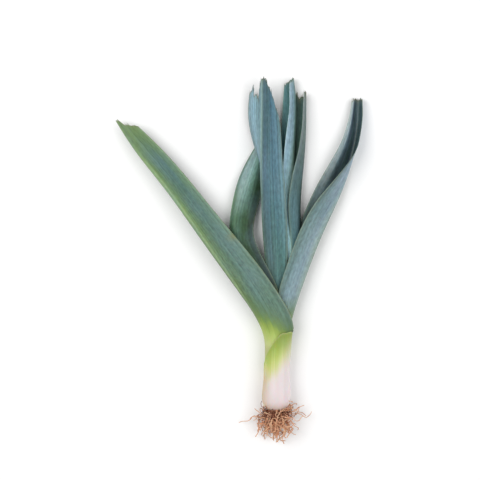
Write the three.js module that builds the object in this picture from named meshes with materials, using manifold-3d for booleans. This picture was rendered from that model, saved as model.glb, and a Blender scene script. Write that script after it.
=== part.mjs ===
// A leek as lifted and trimmed for sale, lying on a flat surface.
//
// The plant is a short root plate with a tuft of dry roots, a white shaft of rolled leaf sheaths
// that swells to a small bulb, and six strap leaves. The leaves stand in two ranks: each is
// folded along its keel, its keel points left or right, and each holds the younger ones in its
// fold. The shaft's outer sheath ends in a slanting mouth, and the leaves come out of it and fan
// out flat.
//
// Units are millimetres. +Z is up, +Y runs from the roots to the leaf tips, +X is to the right.
// The origin is on the surface, under the shaft's rest face.

import * as THREE from "three";
import { mergeVertices } from "three/addons/utils/BufferGeometryUtils.js";
import Module from "manifold-3d";

const wasm = await Module();
wasm.setup();

const { cos, sin, sqrt, max, min, sign, abs, PI } = Math;
const radians = THREE.MathUtils.degToRad;

// --- Driving dimensions ---------------------------------------------------------------------

const GAP = 0.3; // clear space between neighbouring solids
const CUT_SIZE = 900; // edge of the blocks that cut pieces off, larger than the plant

// The shaft: its outline as [distance along the shaft, radius].
const SHAFT_OUTLINE = [
  [-42.5, 11.5],
  [-40.5, 14.2],
  [-36.5, 16.8],
  [-30, 18.5],
  [-22, 18.9],
  [-13, 18.2],
  [-3, 17.5],
  [10, 17.4],
  [28, 17.7],
  [48, 18.0],
  [72, 18.1],
];
const SHAFT_SIDES = 30;

// The shaft's axis as [distance along the shaft, shift to the right, height]. It leans a little to
// the right, and is a little lower than the radius, so that the underside is pressed flat.
const SHAFT_AXIS = [
  [-60, -0.9, 18.2],
  [-22, 0, 18.2],
  [-3, 0.5, 17.1],
  [10, 0.8, 16.9],
  [45, 1.9, 17.1],
  [80, 3.1, 17.4],
];

// The mouth of the outer sheath is a slanting plane: low behind on the left, high in front on the
// right. The two slopes say how far it climbs along the shaft for each millimetre right and up.
const MOUTH_Y = 37;
const MOUTH_SLOPE_RIGHT = 1.19;
const MOUTH_SLOPE_UP = 1.0;

// Leaves.
const BLADE_THICKNESS = 1;
const ACROSS_STEPS = 12;
const KEEL_CROWDING = 1.4; // above 1, the steps across are narrower near the keel, where it bends
const ALONG_STEPS = 22;
const OUTER_ROLL = 16.1; // radius of the outermost leaf inside the mouth
const ROLL_STEP = 2.25; // each younger leaf is rolled this much tighter
const ROLLED_ROWS = [-6, 22, 46]; // where along the shaft the rolled sections are set
const TIGHT_WRAP = 110; // how far each side of the inner leaves wraps round in there, in degrees

// The root plate: its outline as [depth below the shaft, radius].
const PLATE_OUTLINE = [
  [5, 5.9],
  [3, 9.3],
  [0, 10.8],
];

// Roots.
const ROOT_COUNT = 28;
const ROOT_RADIUS = 0.6;
const ROOT_SIDES = 5;
const ROOT_STEPS = 8; // rings along a root
const ROOT_POINTS = 5; // spans between the points that its line is drawn through
const ROOT_LENGTH = 38;
const ROOT_SHORTENING = 0.06; // each of five lengths in turn is this share shorter than the last
const ROOT_BED = 6.7; // radius of the patch that the roots grow from
const ROOT_TURN = 137.508; // degrees from each root to the next, which spaces them evenly
const ROOT_SPREAD = 0.76; // how far the outermost roots lean away from the shaft's line, radians
const SPREAD_UP = 0.62; // the tuft's spread upwards, as a share of its spread to the sides
const SPREAD_DOWN = 0.4;
const ROOT_WAVE = 0.9; // sideways wave at the free end
const ROOT_DROOP = 2.4; // how far the free ends hang down

// --- Materials ------------------------------------------------------------------------------

const finish = (name, color, roughness) =>
  new THREE.MeshStandardMaterial({ name, color, roughness, metalness: 0 });

const WHITE_SHAFT = finish("white_shaft", 0xece6da, 0.45);
const BLUE_GREEN_LEAF = finish("blue_green_leaf", 0x5d8577, 0.55);
const DRY_ROOT = finish("dry_root", 0xc79a72, 0.85);

// --- Shared geometry ------------------------------------------------------------------------

/** A closed geometry as a manifold-3d solid, with only its positions kept. */
function toSolid(geometry) {
  const bare = geometry.clone();
  bare.deleteAttribute("normal");
  bare.deleteAttribute("uv");
  const merged = mergeVertices(bare, 1e-3);
  return new wasm.Manifold(
    new wasm.Mesh({
      numProp: 3,
      vertProperties: new Float32Array(merged.attributes.position.array),
      triVerts: new Uint32Array(merged.index.array),
    }),
  );
}

/** A manifold-3d solid as a geometry. */
function toGeometry(solid) {
  const mesh = solid.getMesh();
  return new THREE.BufferGeometry()
    .setAttribute("position", new THREE.BufferAttribute(mesh.vertProperties, 3))
    .setIndex(new THREE.BufferAttribute(mesh.triVerts, 1));
}

/** Moves every vertex of a geometry through a function. */
function reshape(geometry, move) {
  const position = geometry.getAttribute("position");
  const point = new THREE.Vector3();
  for (let i = 0; i < position.count; i++) {
    point.fromBufferAttribute(position, i);
    move(point);
    position.setXYZ(i, point.x, point.y, point.z);
  }
  return geometry;
}

/** The shaft's axis at a distance along the plant. */
function axisAt(y) {
  const next = max(1, SHAFT_AXIS.findIndex(([along]) => along > y));
  const [startY, startX, startZ] = SHAFT_AXIS[next - 1];
  const [endY, endX, endZ] = SHAFT_AXIS[next];
  const t = (y - startY) / (endY - startY);
  return new THREE.Vector3(startX + (endX - startX) * t, y, startZ + (endZ - startZ) * t);
}

/** A big block filling the root side (-1) or the leaf side (1) of the mouth, moved off by a gap. */
function besideMouth(side, gap) {
  const slope = new THREE.Vector3(-MOUTH_SLOPE_RIGHT, 1, -MOUTH_SLOPE_UP).normalize();
  const block = new THREE.BoxGeometry(CUT_SIZE, CUT_SIZE, CUT_SIZE);
  block.translate(0, (side * CUT_SIZE) / 2 + gap, 0);
  block.applyQuaternion(new THREE.Quaternion().setFromUnitVectors(THREE.Object3D.DEFAULT_UP, slope));
  const middle = axisAt(MOUTH_Y);
  block.translate(middle.x, middle.y, middle.z);
  return toSolid(block);
}

/** A big block filling everything under the surface. */
function underSurface() {
  return toSolid(
    new THREE.BoxGeometry(CUT_SIZE, CUT_SIZE, CUT_SIZE).translate(0, 0, -CUT_SIZE / 2),
  );
}

// --- Shaft and root plate -------------------------------------------------------------------

/** A turned piece along the shaft's bent axis. Outline points are [along, radius]. */
function turned(outline) {
  const profile = outline.map(([along, radius]) => new THREE.Vector2(radius, along));
  const closed = [
    new THREE.Vector2(0, outline[0][0]),
    ...profile,
    new THREE.Vector2(0, outline.at(-1)[0]),
  ];
  return reshape(new THREE.LatheGeometry(closed, SHAFT_SIDES), (p) => {
    const axis = axisAt(p.y);
    p.x += axis.x;
    p.z += axis.z;
  });
}

function shaft() {
  const whole = toSolid(turned(SHAFT_OUTLINE));
  return toGeometry(whole.subtract(besideMouth(1, 0)).subtract(underSurface()));
}

function rootPlate() {
  const top = SHAFT_OUTLINE[0][0] - GAP;
  return turned(PLATE_OUTLINE.map(([depth, radius]) => [top - depth, radius]));
}

// --- Leaves ---------------------------------------------------------------------------------

// Each leaf is a row of stations along its keel, from the neck to the tip:
// [x, y, z of the keel, roll, fold radius, fold, half width].
// roll turns the keel round the leaf's own direction: 0 is a keel on top, 90 is on the right,
// -90 is on the left. fold is how far each side bends back from flat, so 90 lays the two sides
// parallel and 180 makes a closed tube. rank counts from the outside of the shaft inwards.
const LEAVES = [
  {
    name: "leaf_front_left",
    side: -1,
    rank: 0,
    stations: [
      [-19, 64, 17.5, -88, 15.8, 90, 47],
      [-31.5, 88, 22.5, -83, 13.5, 85, 46],
      [-61, 129, 31.5, -70, 9, 74, 44],
      [-105, 191, 32.5, -61, 6, 69, 36],
      [-146, 250, 27.5, -58, 5, 70, 32],
      [-186, 297, 23.6, -60, 5, 70, 29],
      [-211, 338, 16, -62, 5, 70, 15],
    ],
  },
  {
    name: "leaf_right",
    side: 1,
    rank: 1,
    stations: [
      [17.5, 64, 16.9, 90, 13.8, 90, 28],
      [25, 95, 17, 90, 9.8, 90, 34],
      [45, 152, 16, 90, 8, 88, 33],
      [62.5, 195, 14.5, 98, 6.2, 80, 35],
      [86, 242, 9.5, 117, 4.5, 70, 35],
      [100, 287, 4.3, 150, 4, 62, 26],
      [109, 330, 2.1, 160, 4, 60, 17],
      [109.5, 368, 1.8, 165, 4, 58, 11],
    ],
  },
  {
    name: "leaf_mid_left",
    side: -1,
    rank: 2,
    stations: [
      [-9.5, 64, 16.9, -90, 11.5, 90, 24],
      [-15, 95, 17, -90, 7.7, 90, 30],
      [-36, 132, 16.5, -89, 6, 90, 31],
      [-65, 180, 14.5, -82, 8, 98, 34],
      [-58, 226, 13, -78, 9, 102, 38],
      [-50, 262, 8.4, -80, 5.2, 100, 40],
      [-33, 294, 3.8, -83, 2.4, 97, 22],
      [-18, 318, 2.8, -86, 1.8, 93, 9],
    ],
  },
  {
    name: "leaf_mid_right",
    side: 1,
    rank: 3,
    stations: [
      [12.8, 64, 16.9, 90, 9.2, 90, 19.5],
      [18, 95, 17, 90, 5.7, 90, 24],
      [26.5, 126, 16.9, 90, 5.4, 90, 17],
      [34, 165, 15.4, 91, 4.8, 89, 14],
      [30, 212, 12.8, 98, 4.6, 83, 20],
      [33, 258, 8.6, 112, 4.4, 71, 23],
      [39, 310, 4.6, 126, 4, 57, 21],
      [38.5, 376, 2.4, 129, 4, 55, 16],
    ],
  },
  {
    name: "leaf_centre",
    side: -1,
    rank: 4,
    stations: [
      [-5, 64, 16.9, -90, 6.9, 90, 15.5],
      [-8, 95, 17, -90, 3.6, 90, 22],
      [-13, 140, 16.4, -90, 3.1, 90, 30],
      [-18, 192, 23, -82, 3.6, 80, 34],
      [-20, 242, 31, -60, 4, 64, 32],
      [-20, 292, 35.5, -30, 4.5, 50, 28],
      [-19.5, 342, 32, -8, 5, 40, 29],
      [-19, 394, 25, -6, 5, 38, 20],
    ],
  },
  {
    name: "leaf_back_right",
    side: 1,
    rank: 5,
    stations: [
      [8, 64, 16.9, 90, 4.6, 90, 10.5],
      [11, 95, 17, 90, 1.6, 90, 15],
      [21, 134, 16.9, 90, 1.6, 90, 18],
      [27, 172, 16.4, 92, 2, 87, 14],
      [22, 225, 13.6, 97, 2.6, 83, 18],
      [22.5, 275, 10.5, 106, 3.4, 77, 20],
      [24.5, 325, 8.5, 114, 4, 70, 19],
      [26, 364, 8, 118, 4, 66, 18],
      [22, 395, 8, 118, 4, 66, 12],
    ],
  },
];

/** A smooth run through rows of numbers, for t from 0 to 1: a cubic B-spline on each column. */
function smoothRows(rows) {
  const beyond = (end, beforeEnd) => end.map((value, i) => 2 * value - beforeEnd[i]);
  const padded = [beyond(rows[0], rows[1]), ...rows, beyond(rows.at(-1), rows.at(-2))];
  return (t) => {
    const place = t * (rows.length - 1);
    const start = min(Math.floor(place), rows.length - 2);
    const u = place - start;
    const weights = [
      (1 - u) ** 3 / 6,
      (3 * u ** 3 - 6 * u ** 2 + 4) / 6,
      (-3 * u ** 3 + 3 * u ** 2 + 3 * u + 1) / 6,
      u ** 3 / 6,
    ];
    return rows[0].map((_, column) =>
      weights.reduce((sum, weight, i) => sum + weight * padded[start + i][column], 0),
    );
  };
}

/** The cross-section's place and heading at an arc length from the keel. */
function foldedSide(arc, radius, fold) {
  const bent = min(arc, radius * fold);
  const angle = bent / radius;
  const straight = arc - bent;
  return {
    out: radius * sin(angle) + straight * cos(angle),
    down: radius * (1 - cos(angle)) + straight * sin(angle),
    angle,
  };
}

/** The stations of a leaf inside the mouth, where each is bent round the shaft's axis. */
function rolledStations({ side, rank, stations }) {
  const radius = OUTER_ROLL - ROLL_STEP * rank;
  const widest = stations[0].at(-1);
  const halfWidth = rank === 0 ? widest : min(widest, radians(TIGHT_WRAP) * radius);
  return ROLLED_ROWS.map((y) => {
    const axis = axisAt(y);
    return [axis.x + side * radius, y, axis.z, side * 90, radius, 90, halfWidth];
  });
}

function blade(leaf) {
  const at = smoothRows([...rolledStations(leaf), ...leaf.stations]);
  const up = new THREE.Vector3(0, 0, 1);
  const keelAt = (t) => new THREE.Vector3(...at(t).slice(0, 3));
  const strap = new THREE.BoxGeometry(2, 1, 1, ACROSS_STEPS, 1, ALONG_STEPS);
  reshape(strap, (p) => {
    const t = 0.5 - p.z;
    const [x, y, z, roll, radius, fold, halfWidth] = at(t);
    const step = 1e-3;
    const along = keelAt(min(1, t + step)).sub(keelAt(max(0, t - step))).normalize();
    const right = new THREE.Vector3().crossVectors(along, up).normalize();
    const above = new THREE.Vector3().crossVectors(right, along);
    const outward = above
      .clone()
      .multiplyScalar(cos(radians(roll)))
      .addScaledVector(right, sin(radians(roll)));
    const across = right
      .clone()
      .multiplyScalar(cos(radians(roll)))
      .addScaledVector(above, -sin(radians(roll)));
    const section = foldedSide(halfWidth * abs(p.x) ** KEEL_CROWDING, radius, radians(fold));
    const offset = p.y * BLADE_THICKNESS;
    const sideways = sign(p.x) * (section.out + offset * sin(section.angle));
    const outwards = offset * cos(section.angle) - section.down;
    p.set(x, y, z).addScaledVector(across, sideways).addScaledVector(outward, outwards);
  });
  return toGeometry(toSolid(strap).subtract(besideMouth(-1, GAP)));
}

// --- Roots ----------------------------------------------------------------------------------

/** The line of one root: out of the plate, then spreading more to the sides than up and down. */
function rootLine(index) {
  const share = sqrt((index + 0.5) / ROOT_COUNT);
  const turn = index * radians(ROOT_TURN);
  const start = SHAFT_OUTLINE[0][0] - 2 * GAP - PLATE_OUTLINE[0][0] - ROOT_RADIUS;
  const axis = axisAt(start);
  const reach = ROOT_LENGTH * (1 - ROOT_SHORTENING * ((index * 7) % 5));
  const lean = share * ROOT_SPREAD;
  const flatness = sin(turn) > 0 ? SPREAD_UP : SPREAD_DOWN;
  const points = [];
  for (let i = 0; i <= ROOT_POINTS; i++) {
    const t = i / ROOT_POINTS;
    const base = share * ROOT_BED;
    const spread = reach * sin(lean) * t;
    const wave = ROOT_WAVE * t * sin(5 * t + turn);
    points.push(
      new THREE.Vector3(
        axis.x + (base + spread) * cos(turn) + wave,
        start - reach * cos(lean) * t,
        axis.z + (base + spread * flatness) * sin(turn) - ROOT_DROOP * t * t,
      ),
    );
  }
  return new THREE.CatmullRomCurve3(points);
}

function root(index) {
  const section = new THREE.Shape();
  for (let i = 0; i < ROOT_SIDES; i++) {
    const angle = (2 * PI * i) / ROOT_SIDES;
    const corner = [ROOT_RADIUS * cos(angle), ROOT_RADIUS * sin(angle)];
    if (i === 0) section.moveTo(...corner);
    else section.lineTo(...corner);
  }
  return new THREE.ExtrudeGeometry(section, {
    steps: ROOT_STEPS,
    curveSegments: 1,
    extrudePath: rootLine(index),
  });
}

// --- The plant ------------------------------------------------------------------------------

const leek = new THREE.Group();

function addPiece(name, geometry, material) {
  const mesh = new THREE.Mesh(geometry, material);
  mesh.name = name;
  leek.add(mesh);
}

addPiece("shaft", shaft(), WHITE_SHAFT);
addPiece("root_plate", rootPlate(), DRY_ROOT);
for (const leaf of LEAVES) addPiece(leaf.name, blade(leaf), BLUE_GREEN_LEAF);
for (let i = 0; i < ROOT_COUNT; i++) {
  addPiece(`root_${String(i + 1).padStart(2, "0")}`, root(i), DRY_ROOT);
}

export default leek;
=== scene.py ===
import math
import random

import bmesh
import bpy
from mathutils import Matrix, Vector, noise


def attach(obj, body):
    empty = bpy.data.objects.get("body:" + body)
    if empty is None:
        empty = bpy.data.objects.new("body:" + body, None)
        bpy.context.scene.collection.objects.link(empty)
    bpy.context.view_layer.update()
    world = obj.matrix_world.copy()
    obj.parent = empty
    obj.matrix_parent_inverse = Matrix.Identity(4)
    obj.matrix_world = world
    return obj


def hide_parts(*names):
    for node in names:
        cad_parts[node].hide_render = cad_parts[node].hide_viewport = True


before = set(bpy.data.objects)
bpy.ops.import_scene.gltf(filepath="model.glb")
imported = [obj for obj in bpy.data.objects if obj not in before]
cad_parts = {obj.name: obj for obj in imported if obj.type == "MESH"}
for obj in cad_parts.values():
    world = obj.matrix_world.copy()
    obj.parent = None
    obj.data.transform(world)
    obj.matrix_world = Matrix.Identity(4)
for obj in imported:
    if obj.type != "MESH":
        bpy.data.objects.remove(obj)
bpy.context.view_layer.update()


# --- Shaft ----------------------------------------------------------------------------------
# The white shaft is a tight roll of leaf sheaths that swells to a small bulb at the root end.
# Its outermost sheath is a ribbed skin under a millimetre thick. It turns green near its
# slanting mouth, where the leaf that it belonged to was torn off.

mm = 0.001
shaft_outline = [  # along the shaft, radius
    (-42.5, 11.5), (-40.5, 14.2), (-36.5, 16.8), (-30, 18.5), (-22, 18.9), (-13, 18.2),
    (-3, 17.5), (10, 17.4), (28, 17.7), (48, 18.0), (72, 18.1),
]
shaft_axis = [  # along the shaft, shift to the right, height
    (-60, -0.9, 18.2), (-22, 0, 18.2), (-3, 0.5, 17.1), (10, 0.8, 16.9), (45, 1.9, 17.1), (80, 3.1, 17.4),
]
mouth_along = 37  # where the mouth crosses the axis
mouth_climb_right = 1.19  # how far the mouth climbs for each millimetre to the right
mouth_climb_up = 1.0
mouth_levels = 55  # above this the mouth climbs less and less
mouth_tops_out = 8  # and it never gets this far above it
mouth_radius = 17.3
mouth_waviness = 1.6
neck_along = 47  # the mouth's place before it is slanted
wall_profile = [  # grid row, along the unslanted shaft, share of the radius, how far inside the skin
    (0, -42.5, 0, 0), (6, -42.5, 1, 0), (150, neck_along, 1, 0), (152, neck_along + 0.4, 1, 0.35),
    (154, neck_along, 1, 0.7), (170, 32, 1, 1.0), (178, 32, 0, 0),
]
shaft_columns = 200
shaft_rows = wall_profile[-1][0]
lip_row = 151
skin_map_size = 0.11  # metres, the skin unrolled, both round the shaft and along it
bulge_height = 0.5
rib_height = 0.06  # at the root end
rib_gain = 0.12  # how much higher the ribs are near the mouth
ribs_rise_from, ribs_rise_over = -5, 40
lip_flare = 1.3  # how far the lip bends outwards where it bends most
flare_length = 9
flare_turn = math.radians(50)  # where round the shaft it bends most
first_green = -7.6  # along the middle of the shaft
green_slant = 13  # how much sooner the left side greens, and how much later the right side
green_gain = 0.0165  # for each millimetre
# painted shade on the left side fades out upwards to here, along the shaft
shaded_left_below = 16
# painted light on the right side fades out upwards to the first, along the shaft, over the second
lit_right_below, lit_right_over = 56, 45
stained_below, stained_over = -31, 13
lip_line_rows = 2.2  # grid rows over which the lip's pale line fades


def clamped(value):
    """A value kept between 0 and 1."""
    return min(max(value, 0), 1)


def eased_row(rows, place):
    """The columns of a table at a place in its first column, on smooth curves through the rows."""
    last = len(rows) - 1
    i = next((n for n in range(1, last) if rows[n][0] > place), last)
    before, start, end, after = rows[max(i - 2, 0)], rows[i - 1], rows[i], rows[min(i + 1, last)]
    span = end[0] - start[0]
    t = clamped((place - start[0]) / span)
    values = []
    for a, b, c, d in zip(before[1:], start[1:], end[1:], after[1:]):
        leave = (c - a) * span / (end[0] - before[0])
        arrive = (d - b) * span / (after[0] - start[0])
        squared = 3 * (c - b) - 2 * leave - arrive
        cubed = leave + arrive - 2 * (c - b)
        values.append(b + t * (leave + t * (squared + t * cubed)))
    return values


def straight_row(rows, place):
    """The columns of a table at a place in its first column, on straight lines between the rows."""
    last = len(rows) - 1
    i = next((n for n in range(1, last) if rows[n][0] > place), last)
    start, end = rows[i - 1], rows[i]
    t = (place - start[0]) / (end[0] - start[0])
    return [b + (c - b) * t for b, c in zip(start[1:], end[1:])]


def ribs(angle, along):
    """Uneven ribs round the shaft, from -1 to 1."""
    coarse = noise.noise(Vector((9 * math.cos(angle), 9 * math.sin(angle), along * 0.012)))
    fine = noise.noise(Vector((22 * math.cos(angle), 22 * math.sin(angle), along * 0.02 + 7)))
    return 0.6 * coarse + 0.4 * fine


def mouth_place(right, up):
    """Where the slanting mouth lies along the shaft, to the right of and above its axis."""
    slant = mouth_along + mouth_climb_right * right + mouth_climb_up * up
    high = max(0, slant - mouth_levels)
    return slant - high * high / (high + mouth_tops_out)


def shaft_point(u, w):
    """A point of the shaft's skin: u goes round it, w from the root end over the lip to the inside."""
    angle = math.tau * u
    along, fullness, inset = straight_row(wall_profile, w * shaft_rows)
    mouth = mouth_place(mouth_radius * math.cos(angle), mouth_radius * math.sin(angle))
    mouth += mouth_waviness * noise.noise(Vector((1.7 * math.cos(angle), 1.7 * math.sin(angle), 3.1)))
    y = along if along < 0 else along / neck_along * mouth
    radius = eased_row(shaft_outline, y)[0]
    lump = noise.noise(Vector((1.3 * math.cos(angle), 1.3 * math.sin(angle), y * 0.03)))
    strength = rib_height + rib_gain * clamped((y - ribs_rise_from) / ribs_rise_over)
    skin = radius + bulge_height * lump + strength * ribs(angle, y)
    flare = lip_flare * clamped(1 - abs(mouth - y) / flare_length) ** 2
    flare *= clamped(math.cos(angle - flare_turn))
    distance = max(fullness * (skin + flare) - inset, 0)
    shift, height = eased_row(shaft_axis, y)
    x = shift + distance * math.cos(angle)
    z = height + distance * math.sin(angle)
    return Vector((x, y, max(z, 0))) * mm


def grid_piece(name, columns, rows, place, unrolled, marks):
    """A closed piece bent from a flat grid. place gives each grid point its place, unrolled its
    point in the UV map in metres, and marks its attributes."""
    bm = bmesh.new()
    bmesh.ops.create_grid(bm, x_segments=columns, y_segments=rows, size=0.5)
    skin_map = bm.loops.layers.uv.new("skin")
    for face in bm.faces:
        face.smooth = True
        for loop in face.loops:
            loop[skin_map].uv = unrolled(loop.vert.co.x + 0.5, loop.vert.co.y + 0.5)
    layers = {mark: bm.verts.layers.float.new(mark) for mark in marks}
    for vert in bm.verts:
        u, w = vert.co.x + 0.5, vert.co.y + 0.5
        vert.co = place(u, w)
        for mark, layer in layers.items():
            vert[layer] = marks[mark](u, w, vert.co)
    bmesh.ops.remove_doubles(bm, verts=bm.verts, dist=0.01 * mm)
    bmesh.ops.recalc_face_normals(bm, faces=bm.faces)
    mesh = bpy.data.meshes.new(name)
    bm.to_mesh(mesh)
    bm.free()
    piece = bpy.data.objects.new(name, mesh)
    bpy.context.scene.collection.objects.link(piece)
    return piece


def colour(red, green, blue):
    """A screen colour, 0 to 255, as the light values that a material takes."""
    return tuple(((c / 255 + 0.055) / 1.055) ** 2.4 for c in (red, green, blue)) + (1,)


def new_finish(name, **sockets):
    """A material with its principled shader's constant sockets set."""
    material = bpy.data.materials.new(name)
    material.use_nodes = True
    shader = material.node_tree.nodes["Principled BSDF"]
    for socket, value in sockets.items():
        shader.inputs[socket.replace("_", " ")].default_value = value
    return material, shader


def node(material, kind, inputs=(), **settings):
    """A shader node. inputs pairs each socket with another node's output or a value."""
    made = material.node_tree.nodes.new("ShaderNode" + kind)
    for setting, value in settings.items():
        setattr(made, setting, value)
    for socket, value in inputs:
        if isinstance(value, bpy.types.NodeSocket):
            material.node_tree.links.new(value, made.inputs[socket])
        else:
            made.inputs[socket].default_value = value
    return made


def marks_on(material, *names):
    """A piece's marks as a material reads them, by name."""
    return {mark: node(material, "Attribute", attribute_name=mark).outputs["Fac"] for mark in names}


def math_node(material, operation, a, b):
    return node(material, "Math", [(0, a), (1, b)], operation=operation).outputs[0]


def plus(material, a, b):
    return math_node(material, "ADD", a, b)


def times(material, a, b):
    return math_node(material, "MULTIPLY", a, b)


def swing(material, grain, strength):
    """Noise made to swing as far below nothing as above it, by a strength."""
    return times(material, math_node(material, "SUBTRACT", grain, 0.5), strength)


def mixed(material, share, under, over):
    """One colour over another, by a share from 0 to 1."""
    mix = node(material, "Mix", [(0, share), (6, under), (7, over)], data_type="RGBA")
    return mix.outputs[2]


def tinted(material, under, share, strength, over):
    """One colour over another, by a share that is weakened by a strength."""
    return mixed(material, times(material, share, strength), under, over)


def shades(material, place, stops):
    """A colour that runs through stops as place goes from 0 to 1."""
    ramp = node(material, "ValToRGB", [(0, place)])
    elements = ramp.color_ramp.elements
    while len(elements) < len(stops):
        elements.new(1)
    for element, (position, shade) in zip(elements, stops):
        element.position = position
        element.color = shade
    return ramp.outputs[0]


def streaks(material, across, along, detail=3):
    """Noise drawn out lengthwise on the skin map, so many to the metre across and along."""
    skin = node(material, "UVMap", uv_map="skin").outputs[0]
    drawn = node(material, "Mapping", [(0, skin), (3, (across, along, 1))]).outputs[0]
    return node(material, "TexNoise", [("Vector", drawn), ("Scale", 1), ("Detail", detail)]).outputs[0]


def finished(material, shader, skin_colour, height, distance):
    """Joins a colour and a fine relief to a material's shader. distance is how far the relief
    stands out, in metres."""
    bump = node(material, "Bump", [("Strength", 0.7), ("Distance", distance), ("Height", height)])
    material.node_tree.links.new(skin_colour, shader.inputs["Base Color"])
    material.node_tree.links.new(bump.outputs[0], shader.inputs["Normal"])


white_skin, shader = new_finish(
    "white_skin", Subsurface_Weight=0.3, Subsurface_Scale=0.005, Roughness=0.42, Specular_IOR_Level=0.4
)
mark = marks_on(white_skin, "greening", "root_end", "shaded_left_side", "lit_right_side", "lip")
veins = streaks(white_skin, 620, 9)
drifts = streaks(white_skin, 60, 28, 2)
green = plus(white_skin, mark["greening"], swing(white_skin, veins, 0.3))
green = plus(white_skin, green, swing(white_skin, drifts, 0.35))
skin_colour = shades(
    white_skin,
    times(white_skin, green, 0.7),
    [
        (0.0, colour(216, 204, 204)),
        (0.1, colour(216, 207, 200)),
        (0.2, colour(210, 206, 174)),
        (0.32, colour(195, 201, 130)),
        (0.42, colour(174, 188, 98)),
        (0.56, colour(147, 167, 68)),
        (0.68, colour(132, 153, 64)),
        (0.82, colour(124, 144, 78)),
        (1.0, colour(128, 143, 102)),
    ],
)
# Painted light, a pinkish white, on the right side of the shaft.
skin_colour = tinted(white_skin, skin_colour, mark["lit_right_side"], 0.75, colour(246, 232, 234))
# Painted shade, warm and tan, down the left side of the bulb.
skin_colour = tinted(white_skin, skin_colour, mark["shaded_left_side"], 0.8, colour(192, 164, 112))
stains = plus(white_skin, streaks(white_skin, 90, 30, 5), 0.1)
skin_colour = tinted(white_skin, skin_colour, mark["root_end"], stains, colour(190, 138, 98))
skin_colour = tinted(white_skin, skin_colour, mark["lip"], 0.5, colour(204, 210, 152))
finished(white_skin, shader, skin_colour, veins, 0.0003)


def shaft_greening(u, w, place):
    """How green the skin is: more towards the mouth, and sooner on the left than on the right."""
    return (place.y / mm - first_green - green_slant * math.cos(math.tau * u)) * green_gain


def shaded_left_side(u, w, place):
    """Painted shade down the left side, fading out towards the green."""
    return clamped(-math.cos(math.tau * u)) ** 3 * clamped((shaded_left_below - place.y / mm) / shaded_left_below)


def lit_right_side(u, w, place):
    """Painted light on the right side, fading out towards the mouth."""
    below = clamped((lit_right_below - place.y / mm) / lit_right_over)
    return clamped(math.cos(math.tau * u)) ** 1.5 * below


shaft = grid_piece(
    "shaft_skin",
    shaft_columns,
    shaft_rows,
    shaft_point,
    lambda u, w: (u * skin_map_size, w * skin_map_size),
    {
        "greening": shaft_greening,
        "root_end": lambda u, w, place: clamped((stained_below - place.y / mm) / stained_over),
        "shaded_left_side": shaded_left_side,
        "lit_right_side": lit_right_side,
        "lip": lambda u, w, place: math.exp(-abs(w * shaft_rows - lip_row) / lip_line_rows),
    },
)
shaft.data.materials.append(white_skin)
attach(shaft, "root")
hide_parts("shaft")


# --- Leaves ---------------------------------------------------------------------------------
# Each leaf is a ribbed strap a millimetre thick, folded along its keel, with pale margins and a
# waxy blue-grey bloom. They grow to the left and to the right in turn, each in the fold of the
# one before, turn from pale to green above the neck, and end in a cut or torn tip.

leaf_columns = 80  # on each face
leaf_rows = 210
frame_count = 400
nudge = 1e-3  # a small share of a leaf's length, to find which way it runs
outer_roll = 16.1  # radius of the outermost leaf inside the mouth
roll_step = 2.25  # each younger leaf is rolled this much tighter
outer_wraps = ((-6, 170), (22, 165), (46, 130))  # along the shaft, degrees it goes round each way
younger_fold = 90  # degrees that a younger leaf is bent each way inside the mouth
tight_wrap = math.radians(110)  # how far its width goes round each way, at most
sheath_wall = 1.4  # how far inside the shaft's outline a leaf is held
room_gained = 0.8  # for each millimetre upwards from just inside the mouth
first_row_depth = 2.5  # how far down in the mouth the outermost leaf's first row lies
leaf_thickness = 1.15  # at the keel
margin_thinner = 0.45
share_power = 1.15  # draws the grid's columns a little towards the keel
ridge_height, ridge_width = 0.5, 1.4  # the keel's
veins_apart, vein_height = 3.2, 0.17
pleats_apart, pleat_height = 9, 0.3
waves_apart, wave_height = 34, 1.3  # along the margins
bows_apart, bow_height = 70, 1.1
loose_from, loose_over = 80, 80  # along the shaft, where the leaves stop being held smooth
margin_power = 30  # the higher it is, the squarer the margins' edges are
lowest_leaf = 0.05  # above the surface
tear_depth = 3
fray_length = 16
fray_least = 0.22  # noise above this frays the tip
knock_length, knock_width = 5, 0.2  # along the leaf in millimetres, and as a share across it
bruising_height = 1.5  # a margin turned up this far is fully bruised
pale_line_width = 0.8
dry_end_length = 2.5
greens_from = 30  # along the shaft


def smooth_rows(rows):
    """A cubic B-spline through the columns of rows, for t from 0 to 1."""
    first = [2 * a - b for a, b in zip(rows[0], rows[1])]
    final = [2 * a - b for a, b in zip(rows[-1], rows[-2])]
    padded = [first, *rows, final]

    def at(t):
        place = clamped(t) * (len(rows) - 1)
        start = min(int(place), len(rows) - 2)
        u = place - start
        weights = (
            (1 - u) ** 3 / 6,
            (3 * u**3 - 6 * u**2 + 4) / 6,
            (-3 * u**3 + 3 * u**2 + 3 * u + 1) / 6,
            u**3 / 6,
        )
        near = padded[start : start + 4]
        return [sum(weight * row[c] for weight, row in zip(weights, near)) for c in range(len(rows[0]))]

    return at


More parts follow.
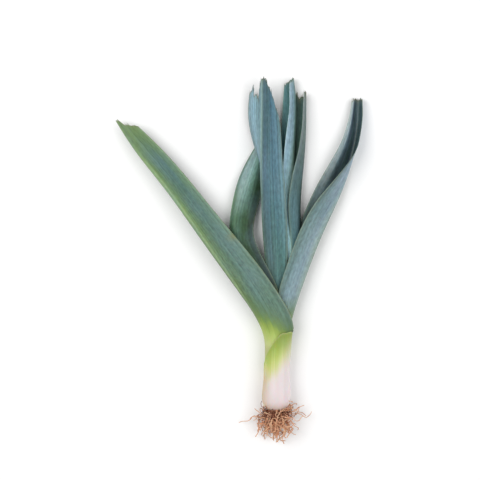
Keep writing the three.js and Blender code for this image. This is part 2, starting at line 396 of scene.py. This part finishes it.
def leaf_frames(rank, stations):
    """Frames along a leaf: keel point, across, outward, fold radius, fold, half width, distance."""
    side = -1 if rank % 2 == 0 else 1
    radius = outer_roll - roll_step * rank
    neck_half = stations[0][-1]
    rolled = []
    for y, outer_fold in outer_wraps:
        shift, height = eased_row(shaft_axis, y)
        fold, half = outer_fold, neck_half
        if rank > 0:
            fold, half = younger_fold, min(neck_half, tight_wrap * radius)
        rolled.append((shift + side * radius, y, height, side * 90, radius, fold, half))
    at = smooth_rows(rolled + stations)
    frames = []
    distance = 0
    for i in range(frame_count + 1):
        t = i / frame_count
        x, y, z, roll, radius, fold, half = at(t)
        along = (Vector(at(t + nudge)[:3]) - Vector(at(t - nudge)[:3])).normalized()
        right = along.cross(Vector((0, 0, 1))).normalized()
        above = right.cross(along)
        turn = math.radians(roll)
        outward = above * math.cos(turn) + right * math.sin(turn)
        across = right * math.cos(turn) - above * math.sin(turn)
        point = Vector((x, y, z))
        distance += (point - frames[-1][0]).length if frames else 0
        frames.append((point, across, outward, radius, math.radians(fold), half, distance))
    return frames


def folded(arc, radius, fold):
    """Place and heading in the cross-section at an arc length from the keel."""
    bent = min(arc, radius * fold)
    angle = bent / radius
    straight = arc - bent
    out = radius * math.sin(angle) + straight * math.cos(angle)
    down = radius * (1 - math.cos(angle)) + straight * math.sin(angle)
    return out, down, angle


def above_mouth(point):
    """How far a point is above the mouth, along the shaft."""
    shift, height = eased_row(shaft_axis, point.y)
    return point.y - mouth_place(point.x - shift, point.z - height)


def held(place):
    """A point of a leaf, pressed in by the sheath where it is still inside the mouth."""
    shift, height = eased_row(shaft_axis, place.y)
    room = eased_row(shaft_outline, place.y)[0] - sheath_wall + room_gained * max(above_mouth(place) + 1, 0)
    aside = math.hypot(place.x - shift, place.z - height)
    if aside <= room:
        return place
    squeeze = room / aside
    return Vector((shift + (place.x - shift) * squeeze, place.y, height + (place.z - height) * squeeze))


def add_leaf(name, rank, stations, tip, seed, finish, green_over, green_lean=0, knocks=()):
    """A leaf. rank counts the leaves from the outermost one, 0, inwards. stations are rows of keel
    x, y and z, roll, fold radius, fold and half width. tip gives how far short of the last station
    the torn end stops, from -1 to 1 across. green_over is how far it takes to green, green_lean how
    much sooner it greens to the right. knocks are places where the margin was knocked and turned
    up: distance, share, how far up."""
    frames = leaf_frames(rank, stations)
    length = frames[-1][-1]
    widest = max(each[5] for each in frames)
    starts = {}

    def trimmed(share):
        """How far short of the last station the leaf ends."""
        tear = abs(noise.noise(Vector((share * 9, seed + 1, 0.5)))) * tear_depth
        fray = max(0, noise.noise(Vector((share * 31, seed + 2, 0.5))) - fray_least) * fray_length
        return max(straight_row(tip, share)[0] + tear - fray, -1)

    def start_at(share):
        """The share of the frames at which the leaf's first row lies, just down in the mouth."""
        if share not in starts:
            for i, (keel, across, outward, radius, fold, half, _) in enumerate(frames):
                out, down, _ = folded(half * abs(share) ** share_power, radius, fold)
                spot = keel + across * math.copysign(out, share) - outward * down
                if above_mouth(spot) > -first_row_depth - rank:
                    break
            starts[share] = i / frame_count
        return starts[share]

    def face_place(u):
        """Which face, and how far across it from -1 to 1."""
        return (1, 4 * u - 1) if u <= 0.5 else (-1, 3 - 4 * u)

    def frame_at(u, w):
        share = face_place(u)[1]
        start = start_at(share)
        end = 1 - trimmed(share) / length
        place = (start + (end - start) * w) * frame_count
        i = min(int(place), frame_count - 1)
        return [a + (b - a) * (place - i) for a, b in zip(frames[i], frames[i + 1])]

    def knocked(distance, share):
        """How far the margin is turned up, and how bruised it is there."""
        return sum(
            up * math.exp(-(((distance - at) / knock_length) ** 2) - ((share - where) / knock_width) ** 2)
            for at, where, up in knocks
        )

    def point(u, w):
        face, share = face_place(u)
        keel, across, outward, radius, fold, half, distance = frame_at(u, w)
        arc = half * abs(share) ** share_power
        out, down, angle = folded(arc, radius, fold)
        hand = 1 if share >= 0 else -1
        vein = noise.noise(Vector((share * widest / veins_apart, distance * 0.006, seed)))
        pleat = noise.noise(Vector((share * widest / pleats_apart, distance * 0.004, seed + 3)))
        wave = noise.noise(Vector((distance / waves_apart, hand * 4, seed + 5))) * abs(share) ** 3
        bow = noise.noise(Vector((distance / bows_apart, hand * 2, seed + 9)))
        bow *= math.sin(math.pi * min(arc / half, 1))
        ridge = ridge_height * math.exp(-((arc / ridge_width) ** 2)) if face > 0 else 0
        thickness = leaf_thickness - margin_thinner * abs(share)
        thickness *= math.sqrt(max(0, 1 - abs(share) ** margin_power))
        if w <= 0 or w >= 1:
            thickness = ridge = 0
        relief = ridge + vein_height * vein + pleat_height * pleat + wave_height * wave + bow_height * bow
        loose = clamped((keel.y - loose_from) / loose_over)
        offset = face * thickness / 2 + loose * (relief + knocked(distance, share))
        sideways = hand * (out + offset * math.sin(angle))
        place = held(keel + across * sideways + outward * (offset * math.cos(angle) - down))
        place.z = max(place.z, lowest_leaf)
        return place * mm

    def unrolled(u, w):
        share = face_place(u)[1]
        return (share * widest * mm, frame_at(u, w)[6] * mm)

    def from_keel(u, w):
        return abs(face_place(u)[1]) * frame_at(u, w)[5]

    def from_margin(u, w):
        return (1 - abs(face_place(u)[1])) * frame_at(u, w)[5]

    def bruising(u, w):
        return knocked(frame_at(u, w)[6], face_place(u)[1]) / bruising_height

    marks = {
        "greening": lambda u, w, place: (place.y / mm - greens_from + green_lean * place.x / mm) / green_over,
        "along": lambda u, w, place: frame_at(u, w)[6] / length,
        "across": lambda u, w, place: (face_place(u)[1] + 1) / 2,
        "keel": lambda u, w, place: math.exp(-from_keel(u, w) / pale_line_width),
        "margin": lambda u, w, place: math.exp(-from_margin(u, w) / pale_line_width),
        "inner_face": lambda u, w, place: 1 if face_place(u)[0] < 0 else 0,
        "dry_end": lambda u, w, place: math.exp(-(1 - w) * length / dry_end_length),
        "bruise": lambda u, w, place: min(bruising(u, w), 1),
    }
    leaf = grid_piece(name + "_blade", 2 * leaf_columns, leaf_rows, point, unrolled, marks)
    leaf.data.materials.append(finish)
    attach(leaf, "root")
    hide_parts(name)


def rising(material, place, start, end, low=0, high=1):
    """A share that goes from low to high while place goes from start to end."""
    return shades(material, place, [(start, (low, low, low, 1)), (end, (high, high, high, 1))])


def across_ramp(finish, place, rows):
    """Colours across a leaf. rows pairs a share across, from -1 to 1, with a screen colour."""
    return shades(finish, place, [((share + 1) / 2, colour(*shade)) for share, shade in rows])


def even(*shade):
    """One colour right across a leaf, as rows."""
    return [(-1, shade), (1, shade)]


def leaf_finish(
    name, near_neck, near_tip, shaded_inner_near_neck, shaded_inner_near_tip, change, pale_lines, striped, olive_tip=0
):
    """A leaf's skin. Its colours run across the outer and the inner face, near the neck and near
    the tip. change gives the shares of its length between which the neck's colours turn into the
    tip's. The rest is how strong its pale lines, its stripes and its olive tip are."""
    finish, shader = new_finish(
        name, Roughness=0.5, Specular_IOR_Level=0.25, Subsurface_Weight=0.06, Subsurface_Scale=0.002
    )
    mark = marks_on(
        finish, "greening", "along", "across", "keel", "margin", "inner_face", "dry_end", "bruise"
    )
    veins = streaks(finish, 420, 3)
    bands = streaks(finish, 95, 4)
    patches = streaks(finish, 34, 17, 4)
    specks = streaks(finish, 400, 150)

    def face_colours(neck_rows, tip_rows):
        """Colours across one face, blended from the neck's into the tip's."""
        under = across_ramp(finish, mark["across"], neck_rows)
        over = across_ramp(finish, mark["across"], tip_rows)
        return mixed(finish, rising(finish, mark["along"], *change), under, over)

    # The broad colours, an olive tip, a bloom in patches, fresher bands, and a grain in the tone.
    outer = face_colours(near_neck, near_tip)
    # The inner face is darker, partly its own colour and partly painted shade inside the fold.
    inner = face_colours(shaded_inner_near_neck, shaded_inner_near_tip)
    body = mixed(finish, mark["inner_face"], outer, inner)
    olive = rising(finish, mark["along"], 0.8, 0.95, 0, olive_tip)
    body = mixed(finish, olive, body, colour(110, 134, 74))
    body = tinted(finish, body, rising(finish, patches, 0.42, 0.62), 0.26, colour(104, 132, 146))
    body = tinted(finish, body, rising(finish, bands, 0.38, 0.55, 1, 0), 0.2, colour(76, 108, 74))
    tone = swing(finish, rising(finish, veins, 0.36, 0.64), striped)
    tone = plus(finish, tone, swing(finish, specks, 0.95))
    tone = plus(finish, tone, swing(finish, bands, 0.45))
    brightness = [("Color", body), ("Value", plus(finish, tone, 1))]
    body = node(finish, "HueSaturation", brightness).outputs[0]

    # The young, pale stretch above the neck, with a jagged upper edge.
    jagged = plus(finish, swing(finish, veins, 0.3), swing(finish, patches, 0.8))
    age = times(finish, plus(finish, mark["greening"], jagged), 0.6)
    young = shades(
        finish,
        age,
        [
            # the lowest stop is darker: painted shade where the leaf comes out of the mouth
            (0.0, colour(176, 180, 122)),
            (0.13, colour(184, 193, 126)),
            (0.25, colour(174, 189, 110)),
            (0.38, colour(162, 181, 94)),
            (0.48, colour(138, 160, 76)),
            (0.57, colour(110, 136, 72)),
            (0.75, colour(96, 122, 80)),
        ],
    )
    body = mixed(finish, rising(finish, age, 0.5, 0.92), young, body)

    # Pale lines along the margins and the keel, the bruise, and the dried edge of the tip.
    pale = math_node(finish, "MAXIMUM", mark["margin"], times(finish, mark["keel"], 0.6))
    body = tinted(finish, body, pale, pale_lines, colour(178, 198, 166))
    body = tinted(finish, body, mark["bruise"], 0.6, colour(120, 116, 70))
    body = tinted(finish, body, mark["dry_end"], 0.6, colour(140, 140, 104))
    finished(finish, shader, body, plus(finish, times(finish, specks, 0.15), veins), 0.0005)
    return finish


# The big outer leaf sweeps up and to the left over the others. Its front half faces up, and the
# keel side of its torn tip stands out as a tongue.
add_leaf(
    "leaf_front_left", rank=0,
    stations=[
        (-19, 64, 17.5, -88, 17, 100, 52), (-31.5, 88, 22.5, -83, 13.5, 79, 46.5),
        (-61, 129, 31.5, -70, 9, 74, 44), (-105, 191, 32.5, -61, 6, 69, 36),
        (-146, 250, 27.5, -58, 5, 70, 32), (-186, 297, 23.6, -60, 5, 70, 29),
        (-211, 338, 16, -62, 5, 70, 15),
    ],
    tip=[(-1, 18), (-0.5, 14), (-0.3, 4), (0, 0), (0.25, 0), (0.4, 9), (0.46, 12), (0.7, 15), (1, 20)],
    seed=2.0,
    finish=leaf_finish(
        "front_left_skin",
        near_neck=[
            (0.04, (85, 106, 62)), (0.11, (155, 180, 130)), (0.2, (94, 117, 76)), (0.5, (92, 121, 110)),
            (1, (92, 118, 100)),
        ],
        near_tip=[
            (-0.1, (90, 116, 78)), (0.11, (135, 162, 118)), (0.2, (102, 130, 80)), (0.5, (79, 109, 96)),
            (0.7, (72, 104, 94)), (1, (118, 147, 114)),
        ],
        shaded_inner_near_neck=even(60, 84, 66),
        shaded_inner_near_tip=even(70, 92, 66),
        change=(0.35, 0.75), pale_lines=0.65, striped=0.3, olive_tip=0.75,
    ),
    green_over=38, green_lean=0.55, knocks=[(192, 1.02, 1.6)],
)

# The leaf on the right is folded low down and opens like a gutter near its cut tip.
add_leaf(
    "leaf_right", rank=1,
    stations=[
        (16.6, 64, 16.9, 90, 12.8, 90, 27), (25, 95, 17, 90, 9.8, 90, 34), (45, 152, 16, 90, 8, 88, 33),
        (62.5, 195, 14.5, 98, 6.2, 80, 35), (86, 242, 9.5, 117, 4.5, 70, 35),
        (100, 287, 4.3, 150, 4, 62, 26), (109, 330, 2.1, 160, 4, 60, 17), (109.5, 368, 1.8, 165, 4, 58, 11),
    ],
    tip=[(-1, 2), (-0.4, 0), (0, 2), (0.5, 0), (1, 3)],
    seed=11.0,
    finish=leaf_finish(
        "right_skin",
        near_neck=[
            (-0.95, (92, 114, 108)), (-0.78, (119, 144, 149)), (-0.43, (120, 140, 148)),
            (-0.2, (147, 167, 160)), (0.1, (118, 146, 129)), (1, (80, 98, 88)),
        ],
        near_tip=[
            (-0.95, (84, 100, 110)), (-0.78, (160, 182, 202)), (-0.45, (156, 176, 200)),
            (-0.25, (170, 196, 218)), (0.1, (98, 116, 114)), (1, (80, 98, 88)),
        ],
        # The inner face is dark along the channel by the keel, painted shade; near the tip it turns whitish
        # towards the margin, a painted highlight.
        shaded_inner_near_neck=[(-1, (56, 68, 66)), (0.5, (44, 54, 56)), (0.78, (66, 84, 82)), (1, (74, 94, 90))],
        shaded_inner_near_tip=[
            (-1, (54, 73, 75)), (0.3, (48, 64, 78)), (0.6, (60, 70, 82)), (0.7, (104, 126, 134)),
            (0.78, (188, 204, 210)), (1, (184, 198, 204)),
        ],
        change=(0.58, 0.88), pale_lines=0.35, striped=0.22,
    ),
    green_over=50,
)

# A shorter leaf between the big one and the centre one, whose tip is tucked under the centre one.
add_leaf(
    "leaf_mid_left", rank=2,
    stations=[
        (-9.5, 64, 16.9, -90, 11.5, 90, 24), (-15, 95, 17, -90, 7.7, 90, 30),
        (-36, 132, 16.5, -89, 6, 90, 31), (-65, 180, 14.5, -82, 8, 98, 34), (-58, 226, 13, -78, 9, 102, 38),
        (-50, 262, 8.4, -80, 5.2, 100, 40), (-33, 294, 3.8, -83, 2.4, 97, 22),
        (-18, 318, 2.8, -86, 1.8, 93, 9),
    ],
    tip=[(-1, 3), (0, 2), (1, 3)],
    seed=23.0,
    finish=leaf_finish(
        "mid_left_skin",
        near_neck=[
            (0.05, (110, 145, 112)), (0.16, (74, 106, 72)), (0.45, (65, 98, 80)), (0.61, (52, 84, 54)),
            (0.93, (32, 46, 31)), (1, (44, 62, 40)),
        ],
        near_tip=[
            (0.05, (88, 114, 100)), (0.3, (165, 190, 192)), (0.45, (170, 206, 198)), (0.6, (124, 164, 146)),
            (0.77, (55, 78, 60)), (1, (52, 71, 46)),
        ],
        shaded_inner_near_neck=even(58, 84, 62),
        shaded_inner_near_tip=even(58, 84, 62),
        change=(0.66, 0.86), pale_lines=0.4, striped=0.34,
    ),
    green_over=60,
)

# The narrow dark leaf on the right of the centre, open like a gutter and cut off with a hollow end.
add_leaf(
    "leaf_mid_right", rank=3,
    stations=[
        (12.8, 64, 16.9, 90, 9.2, 90, 19.5), (18, 95, 17, 90, 5.7, 90, 24),
        (26.5, 126, 16.9, 90, 5.4, 90, 17), (34, 165, 15.4, 91, 4.8, 89, 14),
        (30, 212, 12.8, 98, 4.6, 83, 20), (33, 258, 8.6, 112, 4.4, 71, 23), (39, 310, 4.6, 126, 4, 57, 21),
        (38.5, 376, 2.4, 129, 4, 55, 16),
    ],
    tip=[(-1, 0), (-0.5, 3), (0, 1), (0.5, 3.5), (1, 0)],
    seed=37.0,
    finish=leaf_finish(
        "mid_right_skin",
        # dark near the neck: partly its own dark green, partly painted shade
        near_neck=[
            (-0.95, (80, 116, 120)), (-0.65, (70, 106, 110)), (-0.14, (48, 67, 62)), (1, (62, 87, 80)),
        ],
        near_tip=[(-0.8, (118, 133, 135)), (-0.14, (99, 121, 119)), (1, (86, 112, 100))],
        shaded_inner_near_neck=even(54, 82, 80),
        shaded_inner_near_tip=even(70, 100, 94),
        change=(0.6, 0.85), pale_lines=0.3, striped=0.3,
    ),
    green_over=60,
)

# The tall leaf in the middle is folded low down and lies open near its tip, with its keel on top.
# The tip is torn in two: a pointed half on the right and a square one on the left.
add_leaf(
    "leaf_centre", rank=4,
    stations=[
        (-5, 64, 16.9, -90, 6.9, 90, 15.5), (-8, 95, 17, -90, 3.6, 90, 22),
        (-13, 140, 16.4, -90, 3.1, 90, 30), (-18, 192, 23, -82, 3.6, 80, 34),
        (-20, 242, 31, -60, 4, 64, 32), (-20, 292, 35.5, -30, 4.5, 50, 28), (-19.5, 342, 32, -8, 5, 40, 29),
        (-19, 394, 25, -6, 5, 38, 20),
    ],
    tip=[
        (-1, 13), (-0.82, 11), (-0.6, 18), (-0.42, 15), (-0.3, 24), (-0.2, 13), (-0.1, 3), (0, 1), (0.15, 0),
        (0.35, 3), (0.55, 10), (0.75, 21), (0.9, 35), (1, 48),
    ],
    seed=51.0,
    finish=leaf_finish(
        "centre_skin",
        near_neck=[
            (-1, (80, 106, 100)), (0.04, (85, 107, 84)), (0.17, (60, 85, 76)), (0.33, (60, 86, 81)),
            (0.7, (79, 119, 120)), (0.92, (68, 105, 100)),
        ],
        # Near the tip the left flank is far lighter than the right: partly bloom, partly painted light from
        # the left.
        near_tip=[
            (-0.92, (118, 142, 150)), (-0.65, (135, 170, 184)), (-0.4, (132, 166, 180)),
            (-0.2, (108, 139, 151)), (-0.05, (124, 157, 162)), (0.04, (80, 108, 110)), (0.17, (69, 98, 113)),
            (0.6, (75, 113, 130)), (0.92, (96, 130, 143)),
        ],
        shaded_inner_near_neck=even(54, 76, 74),
        shaded_inner_near_tip=even(60, 84, 84),
        change=(0.38, 0.7), pale_lines=0.45, striped=0.5,
    ),
    green_over=60,
)

# The narrow pale leaf just right of the centre one. Its outer face is pale with bloom and partly with painted
# light, lightened where the centre leaf shades it.
add_leaf(
    "leaf_back_right", rank=5,
    stations=[
        (8, 64, 16.9, 90, 4.6, 90, 10.5), (11, 95, 17, 90, 1.6, 90, 15), (21, 134, 16.9, 90, 1.6, 90, 18),
        (27, 172, 16.4, 92, 2, 87, 14), (22, 225, 13.6, 97, 2.6, 83, 18),
        (22.5, 275, 10.5, 106, 3.4, 77, 20), (24.5, 325, 8.5, 114, 4, 70, 19), (26, 364, 8, 118, 4, 66, 18),
        (22, 395, 8, 118, 4, 66, 12),
    ],
    tip=[(-1, 8), (-0.4, 2), (0, 0), (0.4, 2), (1, 9)],
    seed=67.0,
    finish=leaf_finish(
        "back_right_skin",
        near_neck=[
            (-0.88, (150, 197, 215)), (-0.57, (154, 194, 190)), (-0.26, (132, 160, 136)), (1, (98, 127, 113)),
        ],
        near_tip=[
            (-0.88, (167, 196, 214)), (-0.57, (151, 183, 203)), (-0.26, (104, 134, 125)), (1, (72, 110, 105)),
        ],
        shaded_inner_near_neck=even(84, 122, 130),
        shaded_inner_near_tip=even(82, 130, 135),
        change=(0.6, 0.8), pale_lines=0.3, striped=0.3,
    ),
    green_over=60,
)


# --- Root plate -----------------------------------------------------------------------------
# The root plate is the plant's short, corky stem: a knobbly brown disc under the bulb. The
# roots grow out of it all over.

plate_outline = [  # along the shaft, radius
    (-48.2, 0), (-47.8, 5.9), (-45.8, 9.3), (-42.8, 10.8), (-42.5, 10.2), (-42.4, 0),
]
plate_corners = [(corner, *place) for corner, place in enumerate(plate_outline)]
plate_columns = 72
plate_rows = 40
knobs_each_mm = 0.45
plate_map_round, plate_map_over = 0.06, 0.02  # metres, its skin unrolled
knob_share = 0.12  # how far the knobs stand out, as a share of the radius
knob_depth = 0.5  # how far they stand out backwards


def plate_point(u, w):
    """A point of the plate: u goes round it, w from the middle of its back over the rim."""
    angle = math.tau * u
    y, radius = straight_row(plate_corners, w * plate_corners[-1][0])
    shift, height = straight_row(shaft_axis, y)
    knobby = knobs_each_mm * radius
    knob = noise.noise(Vector((knobby * math.cos(angle), y * 0.5, knobby * math.sin(angle))))
    radius = max(radius * (1 + knob_share * knob), 0)
    x = shift + radius * math.cos(angle)
    z = height + radius * math.sin(angle)
    return Vector((x, y - knob_depth * knob * min(radius, 1), z)) * mm


def root_finish(name, light, dark, spread):
    """A dry, fibrous skin in two shades, with so many patches to the metre."""
    finish, shader = new_finish(name, Roughness=0.75, Subsurface_Weight=0.1, Subsurface_Scale=0.001)
    object_place = node(finish, "TexCoord").outputs["Object"]
    patchy = node(finish, "TexNoise", [("Vector", object_place), ("Scale", spread), ("Detail", 3)]).outputs[0]
    grain = node(finish, "TexNoise", [("Vector", object_place), ("Scale", 900), ("Detail", 2)]).outputs[0]
    body = mixed(finish, rising(finish, patchy, 0.35, 0.65), light, dark)
    body = tinted(finish, body, grain, 0.35, colour(120, 70, 48))
    finished(finish, shader, body, grain, 0.0003)
    return finish


plate = grid_piece(
    "root_plate_cork",
    plate_columns,
    plate_rows,
    plate_point,
    lambda u, w: (u * plate_map_round, w * plate_map_over),
    {},
)
plate.data.materials.append(root_finish("corky_plate", colour(170, 120, 88), colour(120, 74, 50), 260))
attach(plate, "root")
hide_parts("root_plate")


# --- Roots ----------------------------------------------------------------------------------
# A tuft of dry, wiry roots about 40 mm long, tangled from being lifted and trimmed. Each root is
# a curly strand with finer side roots. Loose broken roots fill the tuft, and a mat of dark strands
# inside it is painted shade in the gaps between the roots.

root_count = 28
root_length = 38
root_points = 20
root_start = -45  # along the shaft, inside the plate
plate_middle = -46
root_ring = 7.4  # how far from the plate's middle the outermost root starts
loose_root_ring = 9.5
next_turn = math.radians(137.508)  # from one root to the next round the plate, which spreads them evenly
widest_lean = 0.6  # radians away from the shaft's line
flat_above, flat_below = 0.62, 0.4  # how much less the roots spread up and down than to the sides
root_curl = 14
curls_along = 5.2
root_sag = 2.4
shorter_step = 0.06  # some roots are shorter by one to four of these shares
lowest_root = 0.9  # above the surface
highest_root = 36
side_roots = 3  # on each root
fine_sag = 0.05
top_depth, top_sag = 8, 0.08  # near the top of the tuft the fine roots bend down more
random.seed(11)
dry_root = root_finish("dry_root_skin", colour(238, 196, 160), colour(208, 146, 108), 160)
# dark brown strands that are painted shade in the tuft's gaps
root_shade = root_finish("root_shade_skin", colour(132, 76, 50), colour(84, 40, 26), 160)


def wander(a, b, c):
    """A smoothly changing direction, from noise."""
    return Vector([noise.noise(Vector((a, b, c + shift))) for shift in (0, 41.3, 83.7)])


def root_line(index):
    """A root's line: out of the plate, spreading more to the sides than up and down, with curls."""
    share = math.sqrt((index + 0.5) / root_count)
    turn = index * next_turn
    shift, height = straight_row(shaft_axis, plate_middle)
    reach = root_length * (1 - shorter_step * ((index * 7) % 5))
    lean = share * widest_lean
    flatness = flat_above if math.sin(turn) > 0 else flat_below
    base = share * root_ring
    line = []
    for i in range(root_points):
        t = i / (root_points - 1)
        spread = reach * math.sin(lean) * t
        curl = wander(t * curls_along, index * 1.7, 0.4) * root_curl * t
        x = shift + (base + spread) * math.cos(turn) + curl.x
        y = root_start - reach * math.cos(lean) * t + curl.y
        z = height + (base + spread * flatness) * math.sin(turn) - root_sag * t * t + 0.7 * curl.z
        line.append(Vector((x, y, min(max(z, lowest_root), highest_root))))
    return line


def fine_root(start, heading, length, points, curl):
    """The line of a fine curly root. It droops a little, and more where it is near the tuft's top."""
    line = [start.copy()]
    offset = random.uniform(0, 100)
    heading = heading.normalized()
    for i in range(1, points):
        turn = wander(offset, i * 0.55, 3.3) * curl
        turn.z -= fine_sag + max(0, line[-1].z - highest_root + top_depth) * top_sag
        heading = (heading + turn).normalized()
        step = line[-1] + heading * length / (points - 1)
        step.z = min(max(step.z, lowest_root - 0.2), highest_root + 2)
        line.append(step)
    return line


def strands(name, thickness, finish):
    """An empty piece for round strands of a thickness, in millimetres from middle to skin."""
    curve = bpy.data.curves.new(name, "CURVE")
    curve.dimensions = "3D"
    curve.bevel_depth = thickness * mm
    curve.bevel_resolution = 1
    curve.use_fill_caps = True
    piece = bpy.data.objects.new(name, curve)
    bpy.context.scene.collection.objects.link(piece)
    curve.materials.append(finish)
    return piece


def add_strand(piece, line, thick, thin):
    """A strand of the given line, from a thick end to a thin one, as shares of the piece's thickness."""
    spline = piece.data.splines.new("POLY")
    spline.points.add(len(line) - 1)
    for i, (spot, place) in enumerate(zip(spline.points, line)):
        spot.co = (*(place * mm), 1)
        spot.radius = thick + (thin - thick) * i / (len(line) - 1)
    spline.use_smooth = True


for index in range(root_count):
    root = strands(f"root_strand_{index + 1:02d}", 0.78, dry_root)
    line = root_line(index)
    add_strand(root, line, 1.1, 0.8)
    for _ in range(side_roots):
        i = random.randrange(3, len(line) - 2)
        aside = Vector([random.uniform(-1, 1) for _ in range(3)])
        heading = (line[i + 1] - line[i]).normalized() + aside
        add_strand(root, fine_root(line[i], heading, random.uniform(10, 20), 12, 0.95), 0.8, 0.6)
    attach(root, "root")
    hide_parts(f"root_{index + 1:02d}")


def fill_tuft(name, thickness, finish, count, spread, lengths, curl, thin):
    """Loose strands that start on the root plate and wander through the tuft."""
    piece = strands(name, thickness, finish)
    shift, height = straight_row(shaft_axis, plate_middle)
    for _ in range(count):
        turn = random.uniform(0, math.tau)
        out = loose_root_ring * math.sqrt(random.random())
        right, up = out * math.cos(turn), out * math.sin(turn)
        start = Vector((shift + right, random.uniform(-47, -44), height + up))
        heading = Vector((math.cos(turn) * out * spread, -1, math.sin(turn) * out * spread * 0.5 - 0.1))
        add_strand(piece, fine_root(start, heading, random.uniform(*lengths), 18, curl), 1, thin)
    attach(piece, "root")


fill_tuft("broken_roots", 0.56, dry_root, count=64, spread=0.11, lengths=(30, 54), curl=1.6, thin=0.8)
# painted shade: a mat of dark strands deep in the tuft
fill_tuft("root_shade_strands", 0.5, root_shade, count=200, spread=0.12, lengths=(10, 30), curl=1.5, thin=0.6)


# --- Floor, light and camera ----------------------------------------------------------------
# A plain near-white floor under soft studio light: a big lamp on the left, a slightly weaker one
# on the right, and an even glow all round. The camera looks straight down.

floor_gap = 0.2 * mm  # keeps the floor from touching the leaves
bm = bmesh.new()
bmesh.ops.create_grid(bm, x_segments=1, y_segments=1, size=4)
bmesh.ops.translate(bm, verts=bm.verts, vec=(0, 0, -floor_gap))
floor_mesh = bpy.data.meshes.new("floor")
bm.to_mesh(floor_mesh)
bm.free()
floor = bpy.data.objects.new("floor", floor_mesh)
bpy.context.scene.collection.objects.link(floor)
floor_finish, _ = new_finish("floor_paper", Roughness=0.9, Base_Color=(0.92, 0.92, 0.92, 1))
floor.data.materials.append(floor_finish)


def soft_lamp(name, place, target, size, power):
    """A square lamp that points at a target, with its power in watts."""
    lamp = bpy.data.objects.new(name, bpy.data.lights.new(name, "AREA"))
    bpy.context.scene.collection.objects.link(lamp)
    lamp.data.size = size
    lamp.data.energy = power
    lamp.location = place
    lamp.rotation_euler = (Vector(target) - Vector(place)).to_track_quat("-Z", "Y").to_euler()


plant_middle = (-0.02, 0.15, 0)
soft_lamp("left_lamp", (-1.0, 0.5, 1.5), plant_middle, 1.2, 20)
soft_lamp("right_lamp", (1.0, 0.1, 1.6), plant_middle, 1.4, 15)

world = bpy.data.worlds.new("studio")
world.use_nodes = True
glow = world.node_tree.nodes["Background"]
glow.inputs["Color"].default_value = (1, 1, 1, 1)
glow.inputs["Strength"].default_value = 0.45
bpy.context.scene.world = world
bpy.context.scene.view_settings.view_transform = "Standard"

camera = bpy.data.objects.new("camera", bpy.data.cameras.new("camera"))
bpy.context.scene.collection.objects.link(camera)
camera.data.lens = 85
camera.data.sensor_width = 36
camera.location = (-0.048, 0.18, 1.51)
camera.rotation_euler = (0, 0, 0)
bpy.context.scene.camera = camera
